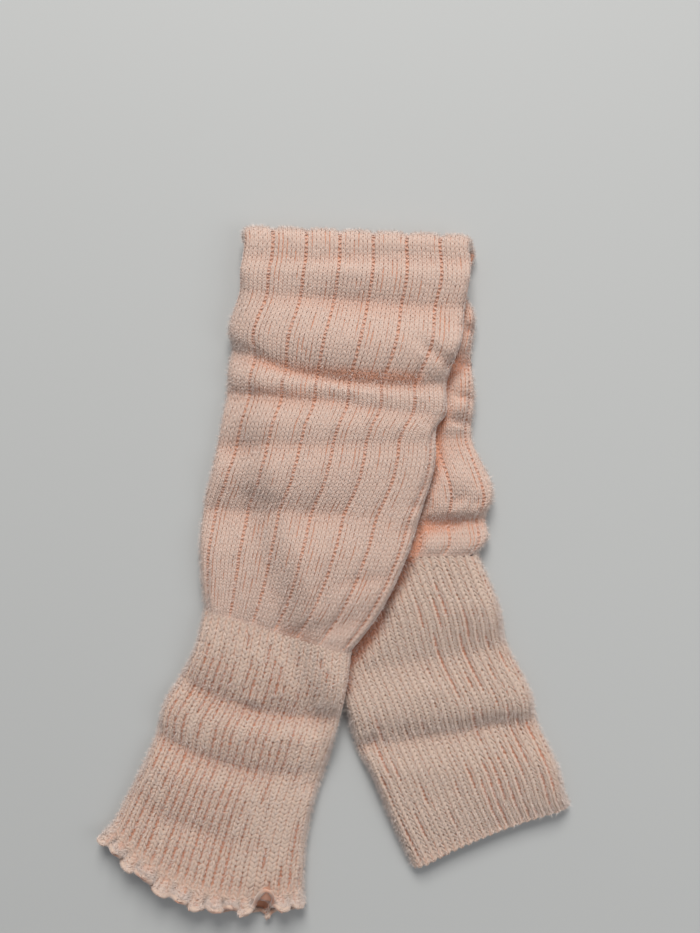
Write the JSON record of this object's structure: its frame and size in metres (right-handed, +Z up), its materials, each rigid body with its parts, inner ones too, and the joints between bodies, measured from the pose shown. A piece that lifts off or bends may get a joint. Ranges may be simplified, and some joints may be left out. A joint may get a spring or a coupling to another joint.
{
  "type": "folded leg warmer",
  "caption": "Long rib-knit leg warmer folded once across its middle and laid flat, one end on top and turned aside, with a frilled hem at one end and a plain hem at the other.",
  "frame": {"origin": "on the table under the middle of the folded bundle", "axes": "+Y from the two hems towards the fold, +X towards the plain-hem end's side, +Z up from the table"},
  "size_m": [0.2466, 0.3668, 0.0215],
  "materials": {
    "wide_rib_knit": "matt, softly brushed acrylic knit",
    "narrow_rib_knit": "matt, softly brushed acrylic knit",
    "frill_knit": "matt, softly brushed acrylic knit"
  },
  "bodies": {
    "root": {"leg": "wide_rib_knit", "front_cuff": "narrow_rib_knit", "back_cuff": "narrow_rib_knit", "frill_hem": "frill_knit"}
  },
  "joints": []
}
